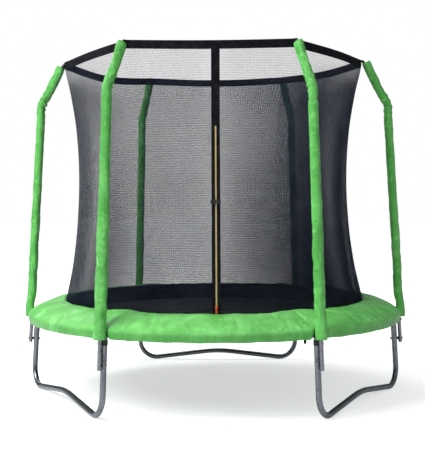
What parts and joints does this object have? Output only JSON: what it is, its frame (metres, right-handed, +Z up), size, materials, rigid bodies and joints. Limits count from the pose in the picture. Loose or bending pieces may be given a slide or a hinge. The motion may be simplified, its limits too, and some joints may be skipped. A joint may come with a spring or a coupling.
{
  "type": "trampoline",
  "caption": "Round garden trampoline on W-shaped legs with a sprung mat, green padded edge, foam-sleeved poles and an inner safety net with a zipped door.",
  "frame": {"origin": "on the floor under the centre of the jumping mat", "axes": "+Z up along the trampoline's axis; the zipped door faces -Y"},
  "size_m": [2.5668, 2.4528, 2.1841],
  "materials": {
    "galvanised_steel": "galvanised",
    "sleeve_green": "satin coated fabric over foam",
    "bolt_spacer": "matte",
    "spring_wire": "zinc plated",
    "mat_weave": "matt weave",
    "pad_green": "satin coated fabric over foam",
    "net_mesh": "open mesh",
    "black_webbing": "matt webbing",
    "zip_orange": "semi-gloss",
    "black_plastic": "matte"
  },
  "bodies": {
    "frame": {"top_rail_1": "galvanised_steel", "top_rail_2": "galvanised_steel", "top_rail_3": "galvanised_steel", "top_rail_4": "galvanised_steel", "top_rail_5": "galvanised_steel", "top_rail_6": "galvanised_steel", "leg_upright_1": "galvanised_steel", "leg_upright_2": "galvanised_steel", "leg_upright_3": "galvanised_steel", "leg_upright_4": "galvanised_steel", "leg_upright_5": "galvanised_steel", "leg_upright_6": "galvanised_steel", "leg_base_1": "galvanised_steel", "leg_base_2": "galvanised_steel", "leg_base_3": "galvanised_steel", "pole_lower_1": "galvanised_steel", "pole_lower_2": "galvanised_steel", "pole_lower_3": "galvanised_steel", "pole_lower_4": "galvanised_steel", "pole_lower_5": "galvanised_steel", "pole_lower_6": "galvanised_steel", "pole_upper_1": "galvanised_steel", "pole_upper_2": "galvanised_steel", "pole_upper_3": "galvanised_steel", "pole_upper_4": "galvanised_steel", "pole_upper_5": "galvanised_steel", "pole_upper_6": "galvanised_steel", "pole_sleeve_1": "sleeve_green", "clamp_lower_1": "bolt_spacer", "clamp_upper_1": "bolt_spacer", "spring_bank_1": "spring_wire", "pole_sleeve_2": "sleeve_green", "clamp_lower_2": "bolt_spacer", "clamp_upper_2": "bolt_spacer", "spring_bank_2": "spring_wire", "pole_sleeve_3": "sleeve_green", "clamp_lower_3": "bolt_spacer", "clamp_upper_3": "bolt_spacer", "spring_bank_3": "spring_wire", "pole_sleeve_4": "sleeve_green", "clamp_lower_4": "bolt_spacer", "clamp_upper_4": "bolt_spacer", "spring_bank_4": "spring_wire", "pole_sleeve_5": "sleeve_green", "clamp_lower_5": "bolt_spacer", "clamp_upper_5": "bolt_spacer", "spring_bank_5": "spring_wire", "pole_sleeve_6": "sleeve_green", "clamp_lower_6": "bolt_spacer", "clamp_upper_6": "bolt_spacer", "spring_bank_6": "spring_wire", "spring_pad": "pad_green", "safety_net": "net_mesh", "top_band": "black_webbing", "door_strip": "black_webbing", "buckle_socket": "black_plastic"},
    "mat": {"jumping_mat": "mat_weave"},
    "slider": {"zip_slider": "zip_orange"},
    "pull": {"zip_pull": "zip_orange"},
    "buckle": {"buckle_insert": "black_plastic"}
  },
  "joints": [
    {"name": "mat_bounce", "type": "slide", "parent": "frame", "child": "mat", "axis": [0, 0, 1], "range_m": [-0.15, 0], "stiffness_N_per_m": 6000, "deforming": ["spring_bank_1", "spring_bank_2", "spring_bank_3", "spring_bank_4", "spring_bank_5", "spring_bank_6"]},
    {"name": "zip_slide", "type": "slide", "parent": "frame", "child": "slider", "axis": [-0.0036, 0.1019, 0.9948], "range_m": [0, 1.03]},
    {"name": "zip_pull_swing", "type": "hinge", "parent": "slider", "child": "pull", "pos_m": [0.03463, -0.99166, 0.634], "axis": [0.9994, 0.0349, 0], "range_deg": [-120, 0]},
    {"name": "buckle_release", "type": "slide", "parent": "frame", "child": "buckle", "axis": [0.9994, 0.0349, 0], "range_m": [0, 0.045]}
  ]
}
